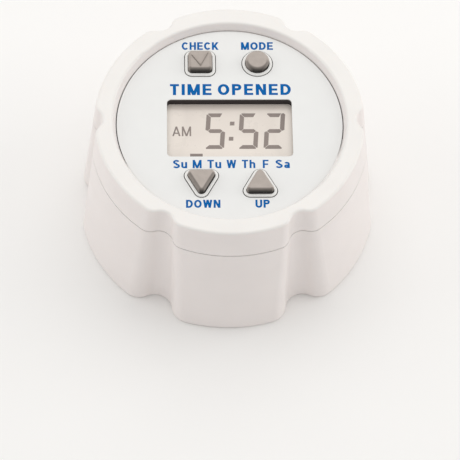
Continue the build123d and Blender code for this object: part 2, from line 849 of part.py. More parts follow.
# Battery door: flange, ring seat and body in one turned shape, with lugs and a coin slot
with BuildPart() as battery_door:
    with BuildSketch(upright(0, 0, 0)):
        with BuildLine():
            Polyline(
                (0, ceiling_bottom),
                (door_flange_radius, ceiling_bottom),
                (door_flange_radius, spigot_bottom),
                (door_spigot_radius, spigot_bottom),
                (door_spigot_radius, ledge_bottom - door_clearance),
                (door_body_radius, ledge_bottom - door_clearance),
                (door_body_radius, door_top),
                (0, door_top),
                close=True,
            )
        make_face()
    revolve(axis=Axis.Z)
    fillet(battery_door.edges().group_by(Axis.Z)[0], door_rounding)
    for angle in lug_angles:
        lug = sector_sketch(door_top - lug_thickness, cell_radius, lug_radius, lug_arc, angle)
        extrude(lug, amount=lug_thickness)
    with BuildSketch(Plane.XY.offset(ceiling_bottom)):
        SlotOverall(slot_length, slot_width)
    extrude(amount=slot_depth, mode=Mode.SUBTRACT)
save(battery_door.part, "battery_door")

with BuildPart() as door_ring:
    ring_height = spigot_bottom + ring_clearance + ring_wire_radius
    ring_radius = door_spigot_radius + ring_clearance + ring_wire_radius
    with BuildSketch(upright(0, 0, ring_height)):
        with Locations((ring_radius, 0)):
            Circle(ring_wire_radius)
    revolve(axis=Axis.Z)
save(door_ring.part, "door_ring")

# Plunger: a pin with a collar that stops on the closure, and a stem that reaches the switch
with BuildPart() as sense_plunger:
    plunger_tip = seal_bottom - plunger_reach
    stem_top = switch_bottom - plunger_travel - switch_gap
    with BuildSketch(Plane.XY.offset(plunger_tip)):
        with Locations((plunger_x, 0)):
            Circle(plunger_radius)
    extrude(amount=plunger_stop - plunger_tip)
    fillet(sense_plunger.edges().group_by(Axis.Z)[0], plunger_tip_rounding)
    with BuildSketch(Plane.XY.offset(plunger_stop)):
        with Locations((plunger_x, 0)):
            Circle(plunger_collar_radius)
    extrude(amount=plunger_collar_height)
    with BuildSketch(Plane.XY.offset(plunger_collar_top)):
        with Locations((plunger_x, 0)):
            Circle(plunger_stem_radius)
    extrude(amount=stem_top - plunger_collar_top)
save(sense_plunger.part, "sense_plunger")

# Return spring, coiled round the plunger's stem between its collar and the sleeve's bush
spring_length = spring_seat - plunger_collar_top - 2 * (spring_wire_radius + spring_end_gap)
with BuildPart() as plunger_spring:
    spring_foot = plunger_collar_top + spring_wire_radius + spring_end_gap
    with BuildLine(Plane(origin=(plunger_x, 0, spring_foot))) as coil:
        Helix(spring_length / spring_turns, spring_length, spring_coil_radius)
    with BuildSketch(Plane(origin=coil.line @ 0, x_dir=(1, 0, 0), z_dir=coil.line % 0)):
        Circle(spring_wire_radius)
    sweep(path=coil.line, is_frenet=True)
save(plunger_spring.part, "plunger_spring")

# Screws: board to face disc, closure insert to skirt, and skirt to upper shell
board_screws = screw_group(
    post_places,
    board_bottom,
    board_screw_head_radius,
    board_screw_head_height,
    board_screw_radius,
    board_thickness + board_screw_grip,
)
save(board_screws, "board_screws")

closure_screws = screw_group(
    closure_screw_places,
    closure_seat,
    closure_screw_head_radius,
    closure_screw_head_height,
    closure_screw_radius,
    closure_screw_length,
)
save(closure_screws, "closure_screws")

case_screws = screw_group(
    case_screw_places,
    closure_top,
    case_screw_head_radius,
    case_screw_head_height,
    case_screw_radius,
    case_screw_length,
)
save(case_screws, "case_screws")
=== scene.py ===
"""Looks and studio for a smart pill bottle cap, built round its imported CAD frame."""

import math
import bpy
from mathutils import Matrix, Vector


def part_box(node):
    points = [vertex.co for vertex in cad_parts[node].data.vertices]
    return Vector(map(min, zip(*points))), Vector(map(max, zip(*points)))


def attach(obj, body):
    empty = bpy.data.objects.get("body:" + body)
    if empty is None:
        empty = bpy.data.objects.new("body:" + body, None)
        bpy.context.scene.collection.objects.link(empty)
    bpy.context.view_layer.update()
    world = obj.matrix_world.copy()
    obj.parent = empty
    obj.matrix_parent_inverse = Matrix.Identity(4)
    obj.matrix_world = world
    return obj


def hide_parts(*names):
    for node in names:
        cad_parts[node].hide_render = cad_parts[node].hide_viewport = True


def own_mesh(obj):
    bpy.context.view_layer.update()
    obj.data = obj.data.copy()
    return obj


bl_info = {
    "name": "Smart pill bottle cap",
    "version": (1, 0, 0),
    "blender": (4, 5, 0),
    "location": "View3D > Sidebar > Pill cap",
    "description": "Finishes, printed words, display and studio for a smart pill bottle cap",
    "category": "Object",
}

import bmesh
import bpy
from bpy.props import FloatProperty, FloatVectorProperty, PointerProperty, StringProperty
from mathutils import Euler, Matrix, Vector

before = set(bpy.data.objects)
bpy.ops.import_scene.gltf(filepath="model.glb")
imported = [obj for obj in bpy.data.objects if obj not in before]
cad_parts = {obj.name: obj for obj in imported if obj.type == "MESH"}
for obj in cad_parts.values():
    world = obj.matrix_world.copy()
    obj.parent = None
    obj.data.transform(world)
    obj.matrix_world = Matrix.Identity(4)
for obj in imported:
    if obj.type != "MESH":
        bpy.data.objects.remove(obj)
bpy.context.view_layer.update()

MM = 0.001
UP = Vector((0, 0, 1))

# Sizes and names taken from the frame
FACE_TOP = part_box("face_overlay")[1].z
FACE_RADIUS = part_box("face_overlay")[1].x
GLASS_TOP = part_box("display_front_glass")[1].z
KEY_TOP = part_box("check_key")[1].z
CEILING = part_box("battery_door")[0].z
KEY_NAMES = ("check", "mode", "down", "up")


def linear(*levels):
    """A colour given in screen levels from 0 to 255, as scene linear values."""
    shares = [level / 255 for level in levels]
    return tuple(s / 12.92 if s <= 0.04045 else ((s + 0.055) / 1.055) ** 2.4 for s in shares)


def middle(node):
    """The middle of a CAD node's box."""
    low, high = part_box(node)
    return (low + high) / 2


def colour_property(name, description, levels):
    """A colour setting, with its default in screen levels."""
    return FloatVectorProperty(
        name=name, description=description, default=linear(*levels), min=0, max=1, subtype="COLOR"
    )


def length_property(name, description, default):
    """A length setting in metres."""
    return FloatProperty(
        name=name, description=description, default=default, unit="LENGTH", precision=5
    )


def share_property(name, description, default):
    """A setting that runs from 0 to 1."""
    return FloatProperty(
        name=name, description=description, default=default, min=0, max=1, subtype="FACTOR"
    )


def angle_property(name, description, degrees):
    """An angle setting, with its default in degrees."""
    return FloatProperty(
        name=name, description=description, default=math.radians(degrees), subtype="ANGLE"
    )


def strength_property(name, description, default):
    """The strength of a light."""
    return FloatProperty(name=name, description=description, default=default, min=0)


class PillCapPlastics(bpy.types.PropertyGroup):
    """Colours and surface of the moulded pieces, the seal and the spring."""

    shell_colour: colour_property("Shell", "White of the rim and the grip skirt", (238, 235, 231))
    # Painted shade: a pinker tone for the shell's upright sides, standing in for their shading
    painted_shade_colour: colour_property(
        "Shell sides", "Warmer white of the shell's upright sides", (238, 231, 228)
    )
    shell_roughness: share_property("Shell roughness", "Roughness of the satin polish", 0.34)
    grain_size: length_property("Grain", "Size of the spark texture left by the mould", 0.09 * MM)
    grain_depth: length_property("Grain depth", "Depth of the spark texture", 0.0016 * MM)
    face_colour: colour_property("Collars", "White of the plate under the film", (240, 239, 236))
    # Painted shade: the dark grey laid on the face plate in its gaps, where shade falls
    painted_gap_shade: colour_property("Gaps", "Dusty grey down in the gaps of the face", (84, 78, 72))
    glue_width: length_property(
        "Glue width", "Width of the gap round the face, which the glue fills", 0.22 * MM
    )
    closure_colour: colour_property("Closure", "White of the threaded closure", (232, 231, 226))
    door_colour: colour_property("Battery door", "Grey white of the battery door", (214, 213, 208))
    mark_height: length_property(
        "Mark height", "Height of the raised marks at the battery door", 0.24 * MM
    )
    seal_width: length_property("Seal width", "Width of the foam washer", 3.1 * MM)
    seal_rounding: length_property("Seal rounding", "Roundness of the washer's edges", 0.3 * MM)
    seal_hole: length_property("Seal hole", "Radius of the hole for the plunger", 1.1 * MM)
    wire_radius: length_property("Wire", "Radius of the plunger spring's wire", 0.1 * MM)
    coil_radius: length_property(
        "Coil", "Radius of the spring's coil, to the middle of its wire", 1.15 * MM
    )
    coil_turns: FloatProperty(
        name="Turns", description="Turns of the plunger's spring", default=5, min=2
    )


class PillCapFilm(bpy.types.PropertyGroup):
    """Colours and print of the face film."""

    film_colour: colour_property("Film", "Ground of the printed film", (233, 233, 231))
    ink_colour: colour_property("Ink", "Blue of the printed words", (0, 96, 166))
    ink_thickness: length_property("Ink thickness", "Height of the ink over the film", 0.012 * MM)
    stroke_share: share_property(
        "Stroke", "Width of a letter's strokes, as a share of its height", 0.213
    )
    day_stroke_share: share_property("Day stroke", "The same share for the days of the week", 0.19)
    title: StringProperty(name="Title", description="Words over the display", default="TIME OPENED")


class PillCapDisplay(bpy.types.PropertyGroup):
    """Colours and marks of the liquid crystal display."""

    ground_colour: colour_property("Ground", "Beige of the display's reflector", (224, 214, 204))
    # Painted light: the paler beige that lightens the display's ends and foot
    painted_light_colour: colour_property(
        "Edges", "Paler beige at the display's ends and foot", (252, 242, 231)
    )
    segment_colour: colour_property("Segments", "Grey of the display's marks", (126, 112, 104))
    digits: StringProperty(name="Digits", description="The three lit digits", default="552")
    digit_width: length_property("Digit width", "Width of a digit", 4.15 * MM)
    digit_height: length_property("Digit height", "Height of a digit", 8.92 * MM)
    stroke: length_property("Stroke", "Width of a digit's segments", 0.95 * MM)
    gap: length_property("Gap", "Gap between two segments", 0.12 * MM)
    slant: angle_property("Slant", "Lean of the digits", 4)


class PillCapKeys(bpy.types.PropertyGroup):
    """Colours and marks of the keys, and the domes under them."""

    key_colour: colour_property("Keys", "Warm grey of the key rubber", (178, 168, 160))
    # Painted shade: this dark grey stands in for the shading of the keys' front sides
    key_painted_shade_colour: colour_property(
        "Key sides", "Grey of the rubber down in the collars", (38, 34, 30)
    )
    tick_width: length_property("Tick width", "Width of the tick's ridge", 0.62 * MM)
    tick_height: length_property("Tick height", "Height of the tick over its key", 0.25 * MM)
    dome_wall: length_property("Dome wall", "Thickness of a rubber dome", 0.5 * MM)
    dome_rim: length_property("Dome rim", "Height of a dome's straight rim", 0.5 * MM)
    dome_top: length_property("Dome top", "Radius of a dome's flat top", 1.5 * MM)
    dome_rounding: length_property("Dome rounding", "Roundness of a dome's edges", 0.2 * MM)


class PillCapStudio(bpy.types.PropertyGroup):
    """Camera, floor and lights."""

    azimuth: angle_property("Azimuth", "Camera turn from the front", -2.8)
    elevation: angle_property("Elevation", "Camera angle over the floor", 58.538)
    roll: angle_property("Roll", "Turn of the camera on its own axis", 2.25)
    distance: length_property("Distance", "Camera to its target", 615.67 * MM)
    target: FloatVectorProperty(
        name="Target", description="Point in the middle of the view",
        default=(0.933 * MM, 0, -12.07 * MM), subtype="TRANSLATION", unit="LENGTH",
    )
    lens: FloatProperty(
        name="Lens", description="Focal length in millimetres", default=216.93, subtype="UNSIGNED"
    )
    floor_colour: colour_property("Floor", "Colour of the floor", (246, 245, 243))
    sky_strength: strength_property("Sky", "Strength of the even light", 0.67)
    top_power: strength_property("Top light", "Power of the soft light overhead", 0.8)
    left_power: strength_property("Left light", "Power of the soft light at the left", 0.58)
    right_power: strength_property("Right light", "Power of the soft light at the right", 0.78)


class Finish:
    """A procedural material, built up in layers on one shader."""

    def __init__(self, name, roughness, metallic=0.0, specular=0.5, coat=0.0, coat_roughness=0.05):
        self.material = bpy.data.materials.new(name)
        self.material.use_nodes = True
        self.nodes = self.material.node_tree.nodes
        self.links = self.material.node_tree.links
        self.shader = self.nodes["Principled BSDF"]
        self.shader.inputs["Roughness"].default_value = roughness
        self.shader.inputs["Metallic"].default_value = metallic
        self.shader.inputs["Specular IOR Level"].default_value = specular
        self.shader.inputs["Coat Weight"].default_value = coat
        self.shader.inputs["Coat Roughness"].default_value = coat_roughness
        self.place = self.add("ShaderNodeTexCoord").outputs["Object"]
        self.colour = None
        self.height = None

    def add(self, kind, **settings):
        """A new node with its settings."""
        node = self.nodes.new(kind)
        for key, value in settings.items():
            setattr(node, key, value)
        return node

    def feed(self, socket, value):
        """Links an output to a socket, or sets the socket's own value."""
        if isinstance(value, bpy.types.NodeSocket):
            self.links.new(value, socket)
        else:
            socket.default_value = value

    def parts(self, value):
        """The X, Y and Z of a value."""
        node = self.add("ShaderNodeSeparateXYZ")
        self.feed(node.inputs[0], value)
        return node.outputs["X"], node.outputs["Y"], node.outputs["Z"]

    def facing(self):
        """The X, Y and Z of the way that the surface faces."""
        return self.parts(self.add("ShaderNodeNewGeometry").outputs["Normal"])

    def noise(self, size, detail=2.0, roughness=0.5, stretch=(1, 1, 1)):
        """Noise with lumps of a real size; stretch draws them out along an axis."""
        mapping = self.add("ShaderNodeMapping")
        self.feed(mapping.inputs["Vector"], self.place)
        mapping.inputs["Scale"].default_value = [1 / (size * s) for s in stretch]
        noise = self.add("ShaderNodeTexNoise")
        self.feed(noise.inputs["Vector"], mapping.outputs["Vector"])
        noise.inputs["Scale"].default_value = 1.0
        noise.inputs["Detail"].default_value = detail
        noise.inputs["Roughness"].default_value = roughness
        return noise.outputs["Fac"]

    def ramp(self, value, low, high, to_low=0.0, to_high=1.0):
        """Maps a span of values to another, held at its ends."""
        node = self.add("ShaderNodeMapRange")
        node.clamp = True
        self.feed(node.inputs["Value"], value)
        spans = {"From Min": low, "From Max": high, "To Min": to_low, "To Max": to_high}
        for socket, number in spans.items():
            node.inputs[socket].default_value = number
        return node.outputs["Result"]

    def math(self, operation, first, second=0.0):
        """One sum on one or two values."""
        node = self.add("ShaderNodeMath", operation=operation)
        self.feed(node.inputs[0], first)
        self.feed(node.inputs[1], second)
        return node.outputs["Value"]

    def mix(self, share, first, second, blend="MIX"):
        """Two colours mixed by a share."""
        node = self.add("ShaderNodeMix", data_type="RGBA", blend_type=blend)
        self.feed(node.inputs[0], share)
        for socket, value in ((node.inputs[6], first), (node.inputs[7], second)):
            self.feed(socket, value if isinstance(value, bpy.types.NodeSocket) else (*value, 1))
        return node.outputs[2]

    def crease(self, reach, inside=False, alone=True):
        """How deep a point lies in a crease, or out on an edge where inside is set, from 0 to 1.
        Where alone isn't set, neighbouring pieces close a crease too."""
        node = self.add("ShaderNodeAmbientOcclusion", inside=inside, only_local=alone, samples=8)
        node.inputs["Distance"].default_value = reach
        return self.math("SUBTRACT", 1.0, node.outputs["AO"])

    def tint(self, colour, spread=0.04, size=4 * MM):
        """The ground colour, with slow cloudy variation."""
        darker = [level * (1 - spread) for level in colour]
        lighter = [min(1, level * (1 + spread)) for level in colour]
        clouds = self.ramp(self.noise(size, detail=3.0), 0.3, 0.7)
        self.colour = self.mix(clouds, darker, lighter)

    def dust_and_crease_shade(self, colour, reach, amount):
        """Dust and painted shade in creases: the colour darkens with a crease's depth, broken up by
        noise.
        """
        patches = self.ramp(
            self.noise(2.5 * MM, detail=4.0, roughness=0.6), 0.3, 0.75, to_low=0.35
        )
        depth = self.ramp(self.crease(reach), 0.35, 0.95, to_high=amount)
        self.colour = self.mix(self.math("MULTIPLY", depth, patches), self.colour, colour)

    def worn(self, reach, colour, amount):
        """A rubbed, lighter or bare tone along outer edges."""
        patches = self.ramp(self.noise(1.8 * MM, detail=4.0, roughness=0.65), 0.4, 0.7)
        edge = self.ramp(self.crease(reach, inside=True), 0.55, 0.95, to_high=amount)
        self.colour = self.mix(self.math("MULTIPLY", edge, patches), self.colour, colour)

    def sheen_patches(self, roughness, spread, size=3 * MM):
        """Roughness that drifts where hands and mould have polished."""
        drift = self.ramp(
            self.noise(size, detail=4.0, roughness=0.6), 0.3, 0.7,
            to_low=max(0.02, roughness - spread), to_high=roughness + spread,
        )
        self.feed(self.shader.inputs["Roughness"], drift)

    def relief(self, height, depth):
        """Adds a height pattern, with its depth in metres, to the surface."""
        bump = self.add("ShaderNodeBump")
        bump.inputs["Strength"].default_value = 1.0
        bump.inputs["Distance"].default_value = depth
        self.feed(bump.inputs["Height"], height)
        if self.height is not None:
            self.feed(bump.inputs["Normal"], self.height)
        self.height = bump.outputs["Normal"]

    def done(self):
        """Joins the layers to the shader and returns the material."""
        self.feed(self.shader.inputs["Base Color"], self.colour)
        if self.height is not None:
            self.feed(self.shader.inputs["Normal"], self.height)
        return self.material


def moulded(
    name, colour, roughness, grain_size, grain_depth, dust_and_crease_shade=0.25, glow=0.0, painted_shade_colour=None
):
    """Injection moulded plastic with a fine spark texture, on slow waves left by the polish of
    its mould; the side colour, where given, is a painted shade tone on its upright sides."""
    finish = Finish(name, roughness)
    finish.tint(colour, spread=0.012, size=7 * MM)
    # Painted shade: upright sides take a pinker tone that stands in for their shading
    if painted_shade_colour is not None:
        upright = finish.ramp(finish.facing()[2], 0.2, 0.8, to_low=1.0, to_high=0.0)
        painted_shade_tint = [side / level for side, level in zip(painted_shade_colour, colour)]
        finish.colour = finish.mix(upright, finish.colour, painted_shade_tint, "MULTIPLY")
    # The darker colour of dust and painted shade in the creases
    dust_and_shade_colour = [level * share for level, share in zip(colour, (0.62, 0.58, 0.52))]
    finish.dust_and_crease_shade(dust_and_shade_colour, reach=1.2 * MM, amount=dust_and_crease_shade)
    finish.sheen_patches(roughness, spread=0.05)
    finish.relief(finish.noise(grain_size), grain_depth)
    finish.relief(finish.noise(6 * MM, detail=1.0), 0.004 * MM)
    finish.shader.inputs["Subsurface Weight"].default_value = glow
    finish.shader.inputs["Subsurface Radius"].default_value = (1.0 * MM, 0.9 * MM, 0.8 * MM)
    finish.shader.inputs["Subsurface Scale"].default_value = 1.0
    return finish.done()


def metal(name, colour, roughness, brush=(1, 1, 1)):
    """Plated metal with fine drawn lines and rubbed edges."""
    finish = Finish(name, roughness, metallic=1.0)
    finish.tint(colour, spread=0.08, size=1.5 * MM)
    # Dust and painted shade in the creases
    finish.dust_and_crease_shade([level * 0.35 for level in colour], reach=0.4 * MM, amount=0.5)
    finish.worn(0.15 * MM, [min(1, level * 1.3) for level in colour], amount=0.3)
    finish.sheen_patches(roughness, spread=0.08, size=1 * MM)
    finish.relief(finish.noise(0.05 * MM, stretch=brush), 0.0012 * MM)
    return finish.done()


def rubber(name, colour, roughness, painted_shade_colour=None):
    """Moulded rubber, darker in its creases from dust and painted shade; the side colour, where
    given, is painted shade over the sides that face the user, and the foot of those that face
    right."""
    finish = Finish(name, roughness, specular=0.35)
    finish.tint(colour, spread=0.05, size=1.2 * MM)
    if painted_shade_colour is not None:
        # Painted shade: soft is that on the front's sides, and tight is that at the foot of the
        # right's
        x, y, z = finish.facing()
        upright = finish.ramp(z, 0.0, 0.995, to_low=1.0, to_high=0.0)
        front = finish.ramp(y, -0.15, 0.05, to_low=1.0, to_high=0.0)
        square = finish.ramp(finish.math("ABSOLUTE", x), 0.35, 0.9, to_low=1.0, to_high=0.35)
        soft = finish.math("MULTIPLY", finish.math("POWER", upright, 0.25), square)
        right = finish.ramp(x, 0.2, 0.5)
        tight = finish.math("MULTIPLY", finish.math("POWER", upright, 3.0), right)
        shade = finish.math("MULTIPLY", finish.math("MAXIMUM", soft, tight), front)
        finish.colour = finish.mix(shade, finish.colour, painted_shade_colour)
    finish.dust_and_crease_shade([level * 0.4 for level in colour], reach=0.5 * MM, amount=0.4)
    finish.worn(0.3 * MM, [min(1, level * 1.15) for level in colour], amount=0.5)
    finish.sheen_patches(roughness, spread=0.08, size=0.8 * MM)
    finish.relief(finish.noise(0.07 * MM, detail=3.0, roughness=0.6), 0.004 * MM)
    return finish.done()


def dress(node, material):
    """Gives a CAD node its material."""
    mesh_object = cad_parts[node]
    mesh_object.material_slots[0].link = "OBJECT"
    mesh_object.material_slots[0].material = material


def piece(name, mesh, material, body, replaces=()):
    """A new piece of the object, which rides on a body."""
    mesh.name = name
    made = bpy.data.objects.new(name, mesh)
    bpy.context.scene.collection.objects.link(made)
    mesh.materials.clear()
    mesh.materials.append(material)
    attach(made, body)
    if replaces:
        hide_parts(*replaces)
    return made


# Points nearer to each other than this are made one
WELD_REACH = 1e-7


def finished_mesh(made, smooth=False):
    """The mesh from its working copy, with its faces turned outwards."""
    bmesh.ops.recalc_face_normals(made, faces=made.faces)
    mesh = bpy.data.meshes.new("mesh")
    made.to_mesh(mesh)
    made.free()
    if smooth:
        mesh.shade_smooth()
    return mesh


def plate_mesh(outlines, bottom, top):
    """Flat plates of one thickness, each from its outline of points in the plan."""
    made = bmesh.new()
    for outline in outlines:
        lower = [made.verts.new((x, y, bottom)) for x, y in outline]
        upper = [made.verts.new((x, y, top)) for x, y in outline]
        made.faces.new(upper)
        made.faces.new(lower[::-1])
        for index, vertex in enumerate(lower):
            after = (index + 1) % len(lower)
            made.faces.new((vertex, lower[after], upper[after], upper[index]))
    return finished_mesh(made)


def swept_mesh(sections, closed=False, smooth=False):
    """A solid through a row of sections, each of the same number of points."""
    made = bmesh.new()
    rings = [[made.verts.new(point) for point in section] for section in sections]
    for index in range(len(rings) if closed else len(rings) - 1):
        here, after = rings[index], rings[(index + 1) % len(rings)]
        for k, vertex in enumerate(here):
            beside = (k + 1) % len(here)
            made.faces.new((vertex, after[k], after[beside], here[beside]))
    if not closed:
        made.faces.new(rings[0])
        made.faces.new(rings[-1][::-1])
    bmesh.ops.remove_doubles(made, verts=made.verts, dist=WELD_REACH)
    return finished_mesh(made, smooth)


def turned_mesh(profile, centre, steps):
    """A shape turned round an upright axis from its closed profile of radii and heights."""
    turns = [2 * math.pi * index / steps for index in range(steps)]
    sections = [
        [(centre[0] + r * math.cos(turn), centre[1] + r * math.sin(turn), z) for r, z in profile]
        for turn in turns
    ]
    return swept_mesh(sections, closed=True, smooth=True)


# Turns that lie flat at each end of a spring
FLAT_TURNS = 0.75


def coil_mesh(centre, radius, wire, bottom, top, turns, steps=28, sides=8):
    """A coil spring, wound from its foot to its head."""
    sections = []
    count = int(turns * steps)
    flat = FLAT_TURNS / turns
    for index in range(count + 1):
        climb = min(1, max(0, (index / count - flat) / (1 - 2 * flat)))
        height = bottom + (top - bottom) * climb
        turn = 2 * math.pi * index / steps
        out = Vector((math.cos(turn), math.sin(turn), 0))
        place = Vector((centre[0], centre[1], height)) + out * radius
        round_wire = [2 * math.pi * side / sides for side in range(sides)]
        sections.append([place + (out * math.cos(a) + UP * math.sin(a)) * wire for a in round_wire])
    return swept_mesh(sections, smooth=True)


def rounded(corners, radius, steps=5, sharp=()):
    """A closed outline with each corner rounded by a short curve, but for those whose numbers are
    in sharp."""
    points = []
    for index, corner in enumerate(corners):
        here = Vector(corner)
        if index in sharp:
            points.append(here)
            continue
        before = Vector(corners[index - 1]) - here
        after = Vector(corners[(index + 1) % len(corners)]) - here
        reach = min(radius, before.length * 0.45, after.length * 0.45)
        start = here + before.normalized() * reach
        end = here + after.normalized() * reach
        for step in range(steps + 1):
            t = step / steps
            points.append(start * (1 - t) ** 2 + here * 2 * t * (1 - t) + end * t ** 2)
    return points


def arc(x, y, across, tall, start, end, steps):
    """Points along part of an ellipse, between two angles in degrees."""
    angles = [math.radians(start + (end - start) * step / steps) for step in range(steps + 1)]
    return [Vector((x + across * math.cos(a), y + tall * math.sin(a))) for a in angles]


def bar(left, right, low, high):
    """An upright or level stroke of a letter."""
    return [(left, low), (right, low), (right, high), (left, high)]


def slat(foot, head, weight, low=0.0, high=1.0):
    """A sloping stroke with level ends, from its foot to its head."""
    half = weight / 2 * math.hypot(high - low, head - foot) / (high - low)
    return [(foot - half, low), (foot + half, low), (head + half, high), (head - half, high)]


def band(points, weight, closed=False):
    """A bent stroke of even width along some points: its two sides, and whether it is closed."""
    sides = []
    count = len(points)
    for index, point in enumerate(points):
        before = points[index - 1] if closed or index else None
        after = points[(index + 1) % count] if closed or index < count - 1 else None
        ends = [(a, b) for a, b in ((before, point), (point, after)) if None not in (a, b)]
        runs = [(b - a).normalized() for a, b in ends]
        along = sum(runs, Vector((0, 0))).normalized()
        across = Vector((-along.y, along.x))
        reach = weight / 2 / max(0.5, across.dot(Vector((-runs[0].y, runs[0].x))))
        sides.append((point + across * reach, point - across * reach))
    return sides, closed


def band_mesh(sides, closed, bottom, top):
    """A bent stroke as a solid strip."""
    return swept_mesh(
        [[(*a, bottom), (*b, bottom), (*b, top), (*a, top)] for a, b in sides], closed
    )


def ridge_mesh(sides, bottom, top):
    """A bent stroke with a sharp ridge along its middle."""
    return swept_mesh([[(*a, bottom), (*b, bottom), (*((a + b) / 2), top)] for a, b in sides])


# Width of each letter, as a share of a capital's height. An I is as wide as its stroke.
LETTER_WIDTHS = {
    "A": 0.74, "C": 0.72, "D": 0.7, "E": 0.61, "F": 0.57, "H": 0.69, "K": 0.71, "L": 0.57,
    "M": 0.84, "N": 0.7, "O": 0.78, "P": 0.64, "S": 0.66, "T": 0.61, "U": 0.69, "W": 0.97,
    "a": 0.56, "h": 0.55, "u": 0.55,
}
SMALL_HEIGHT = 0.74
LETTER_GAP = 0.13
WORD_SPACE = 0.42


def glyph(letter, w):
    """A capital, or a small letter of the week's days: its width, straight strokes and bent
    strokes. The capital is 1 high and its strokes are w wide."""
    h = w / 2
    t = w * 0.9
    wide = LETTER_WIDTHS.get(letter, w)
    half = wide / 2
    small = SMALL_HEIGHT
    stem = bar(0, w, 0, 1)
    straight, bent = [], []
    if letter == "A":
        straight = [slat(h, half, w), slat(wide - h, half, w), bar(0.2, 0.54, 0.24, 0.24 + t)]
    elif letter == "C":
        bent = [band(arc(0.38, 0.5, 0.38 - h, 0.5 - h, 42, 318, 28), w)]
    elif letter == "D":
        side = arc(0.3, 0.5, 0.4 - h, 0.5 - h, 90, -90, 20)
        bent = [band([Vector((h, 1 - h)), *side, Vector((h, h))], w, True)]
    elif letter == "E":
        waist = bar(h, 0.57, 0.5 - t / 2, 0.5 + t / 2)
        straight = [stem, bar(h, 0.61, 0, t), waist, bar(h, 0.6, 1 - t, 1)]
    elif letter == "F":
        straight = [stem, bar(h, 0.52, 0.47 - t / 2, 0.47 + t / 2), bar(h, 0.57, 1 - t, 1)]
    elif letter == "H":
        waist = bar(h, wide - h, 0.5 - t / 2, 0.5 + t / 2)
        straight = [stem, bar(wide - w, wide, 0, 1), waist]
    elif letter == "I":
        straight = [stem]
    elif letter == "K":
        straight = [stem, slat(w - 0.06, 0.59, w, 0.3, 1), slat(0.6, 0.25, w, 0, 0.62)]
    elif letter == "L":
        straight = [stem, bar(h, wide, 0, t)]
    elif letter == "M":
        slopes = [slat(half, h * 1.1, w), slat(half, wide - h * 1.1, w)]
        straight = [stem, bar(wide - w, wide, 0, 1), *slopes]
    elif letter == "N":
        straight = [stem, bar(wide - w, wide, 0, 1), slat(wide - h * 1.15, h * 1.15, w)]
    elif letter == "O":
        bent = [band(arc(half, 0.5, half - h, 0.5 - h, 0, 345, 23), w, True)]
    elif letter == "P":
        bowl = arc(0.37, 0.71, 0.27 - h, 0.29 - h, 90, -90, 14)
        straight = [stem]
        bent = [band([Vector((h, 1 - h)), *bowl, Vector((h, 0.42 + h))], w)]
    elif letter == "S":
        upper = arc(0.33, 0.74, 0.32 - h * 1.1, 0.26 - h, 20, 262, 16)
        lower = arc(0.33, 0.27, 0.33 - h, 0.27 - h, 82, -158, 16)
        bent = [band(upper + lower, w)]
    elif letter == "T":
        straight = [bar(half - h, half + h, 0, 1), bar(0, wide, 1 - t, 1)]
    elif letter == "U":
        bowl = arc(half, half, half - h, half - h, 180, 360, 18)
        bent = [band([Vector((h, 1)), *bowl, Vector((wide - h, 1))], w)]
    elif letter == "W":
        slopes = ((0.27, h * 1.1), (0.27, half), (0.7, half), (0.7, wide - h * 1.1))
        straight = [slat(foot, head, w) for foot, head in slopes]
    elif letter == "a":
        hook = arc(0.262, small - 0.2, 0.25 - h, 0.2 - h, 165, 3, 12)
        bowl = arc(0.24, 0.215, 0.24 - h, 0.215 - h, 20, 345, 18)
        straight = [bar(0.52 - w, 0.52, 0, small - 0.19)]
        bent = [band(hook, w), band(bowl, w, True)]
    elif letter == "h":
        arch = arc(0.275, small - 0.25, 0.275 - h, 0.25 - h, 170, 0, 12)
        straight = [stem]
        bent = [band([*arch, Vector((wide - h, 0))], w)]
    elif letter == "u":
        bowl = arc(0.275, 0.25, 0.275 - h, 0.25 - h, 180, 350, 12)
        straight = [bar(wide - w, wide, 0, small)]
        bent = [band([Vector((h, small)), *bowl], w)]
    else:
        raise ValueError(f"no glyph is drawn for {letter!r}")
    return wide, straight, bent


def welded_mesh(meshes, operation="UNION"):
    """One solid from solids that overlap, or the first solid less the others."""
    store = bpy.data.collections.new("weld")
    bpy.context.scene.collection.children.link(store)
    parts = [bpy.data.objects.new("weld", mesh) for mesh in meshes]
    bpy.context.scene.collection.objects.link(parts[0])
    for part in parts[1:]:
        store.objects.link(part)
    if len(parts) > 1:
        weld = parts[0].modifiers.new("weld", "BOOLEAN")
        weld.operation = operation
        weld.operand_type = "COLLECTION"
        weld.collection = store
        weld.solver = "MANIFOLD"
    bpy.context.view_layer.update()
    seen = parts[0].evaluated_get(bpy.context.evaluated_depsgraph_get())
    mesh = bpy.data.meshes.new_from_object(seen)
    for part in parts:
        bpy.data.objects.remove(part)
    bpy.data.collections.remove(store)
    return mesh


def gathered_mesh(meshes):
    """Meshes that lie apart, as one mesh."""
    made = bmesh.new()
    for mesh in meshes:
        made.from_mesh(mesh)
        bpy.data.meshes.remove(mesh)
    gathered = bpy.data.meshes.new("gathered")
    made.to_mesh(gathered)
    made.free()
    return gathered


def letters_mesh(words, left, right, foot, height, bottom, top, weight, gap=LETTER_GAP):
    """Printed or raised letters that fill a box in the plan."""
    solids = []
    x = 0.0
    for letter in words:
        if letter == " ":
            x += WORD_SPACE - gap
            continue
        width, straight, bent = glyph(letter, weight)
        strokes = [plate_mesh([outline], 0, 1) for outline in straight]
        strokes += [band_mesh(sides, closed, 0, 1) for sides, closed in bent]
        for stroke in strokes:
            stroke.transform(Matrix.Translation((x, 0, 0)))
        solids += strokes
        x += width + gap
    mesh = welded_mesh(solids)
    scale = Matrix.Diagonal(((right - left) / (x - gap), height, top - bottom, 1))
    mesh.transform(Matrix.Translation((left, foot, bottom)) @ scale)
    return mesh


